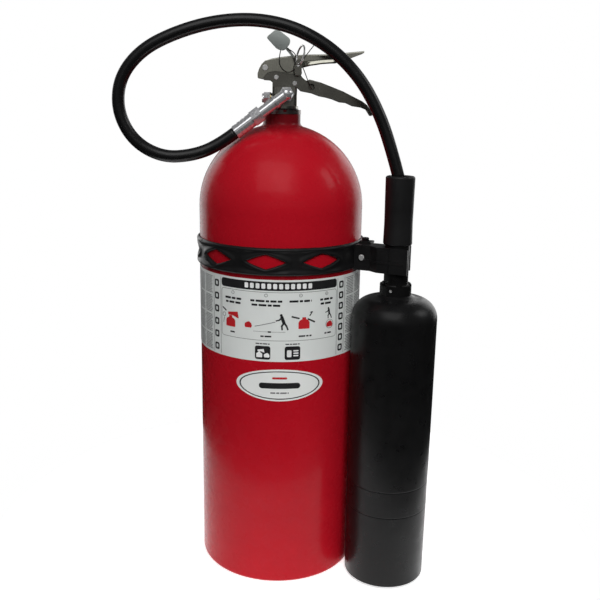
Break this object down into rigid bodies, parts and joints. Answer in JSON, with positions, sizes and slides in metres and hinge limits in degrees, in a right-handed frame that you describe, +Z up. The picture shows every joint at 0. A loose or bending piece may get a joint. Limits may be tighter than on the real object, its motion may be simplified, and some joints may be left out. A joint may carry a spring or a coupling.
{
  "type": "portable carbon dioxide fire extinguisher",
  "caption": "Upright red gas cylinder with a squeeze-lever valve, pull pin, looped black hose and a long black discharge horn clipped to its side.",
  "frame": {"origin": "centre of the foot ring, on the plane that the cylinder stands on", "axes": "+Z up the cylinder; -Y is the front, with the label; the horn hangs on the +X side, turned a little to the front"},
  "size_m": [0.3869, 0.2243, 0.6897],
  "materials": {
    "red_paint": "gloss enamel",
    "bare_aluminium": "machined",
    "nickel_plate": "dull plated forging",
    "bright_chrome": "polished plating",
    "lever_steel": "plated sheet steel",
    "steel_fastener": "bright zinc",
    "black_hardware": "black oxide",
    "brass": "plain",
    "black_rubber": "satin rubber",
    "grip_rubber": "satin rubber",
    "horn_plastic": "satin moulding",
    "band_plastic": "satin moulding",
    "seal_plastic": "moulded",
    "label_silver": "printed foil",
    "badge_silver": "printed foil"
  },
  "bodies": {
    "base": {"cylinder": "red_paint", "neck_ring": "bare_aluminium", "neck_oring": "black_rubber", "siphon_tube": "bare_aluminium", "valve_body": "nickel_plate", "stem_packing": "black_rubber", "return_spring": "steel_fastener", "burst_washer": "brass", "burst_disc": "brass", "burst_nut": "bright_chrome", "carry_handle": "lever_steel", "handle_rivet_rear": "steel_fastener", "handle_rivet_front": "steel_fastener", "lever_pivot_pin": "steel_fastener", "outlet_elbow": "bright_chrome", "coupling_nut": "bright_chrome", "hose_ferrule": "bright_chrome", "hose": "black_rubber", "clamp_band": "band_plastic", "clip_arm": "band_plastic", "horn_clip": "band_plastic", "clip_rivet": "black_hardware", "arm_bolt": "black_hardware", "arm_nut": "black_hardware", "arm_screw": "steel_fastener", "instruction_label": "label_silver", "plain_badge": "badge_silver"},
    "lever": {"operating_lever": "lever_steel"},
    "stem": {"valve_stem": "steel_fastener", "stem_washer": "steel_fastener"},
    "pin": {"pull_pin": "steel_fastener", "tamper_seal": "seal_plastic"},
    "ring": {"pull_ring": "steel_fastener"},
    "horn": {"grip": "grip_rubber", "grip_nipple": "nickel_plate", "horn_neck": "horn_plastic", "horn_collar": "horn_plastic", "horn_set_screw": "steel_fastener", "horn": "horn_plastic", "horn_orifice": "brass"}
  },
  "joints": [
    {"name": "lever_squeeze", "type": "hinge", "parent": "base", "child": "lever", "pos_m": [-0.0205, 0, 0.6328], "axis": [0, 1, 0], "range_deg": [0, 12], "stiffness_Nm_per_rad": 8, "springref_deg": -8.59},
    {"name": "stem_push", "type": "slide", "parent": "base", "child": "stem", "axis": [0, 0, -1], "range_m": [0, 0.005], "deforming": ["return_spring"]},
    {"name": "pin_pull", "type": "slide", "parent": "base", "child": "pin", "axis": [0, -1, 0], "range_m": [0, 0.03]},
    {"name": "ring_swing", "type": "hinge", "parent": "pin", "child": "ring", "pos_m": [0.0184, -0.0284, 0.636], "axis": [0, 1, 0], "range_deg": [-25, 10]},
    {"name": "horn_swing", "type": "hinge", "parent": "base", "child": "horn", "pos_m": [0.1385, -0.068, 0.508], "axis": [-0.4407, -0.8977, 0], "range_deg": [0, 30]}
  ],
  "couplings": [
    {"joint": "stem_push", "follows": "lever_squeeze", "m_per_rad": 0.0235}
  ]
}
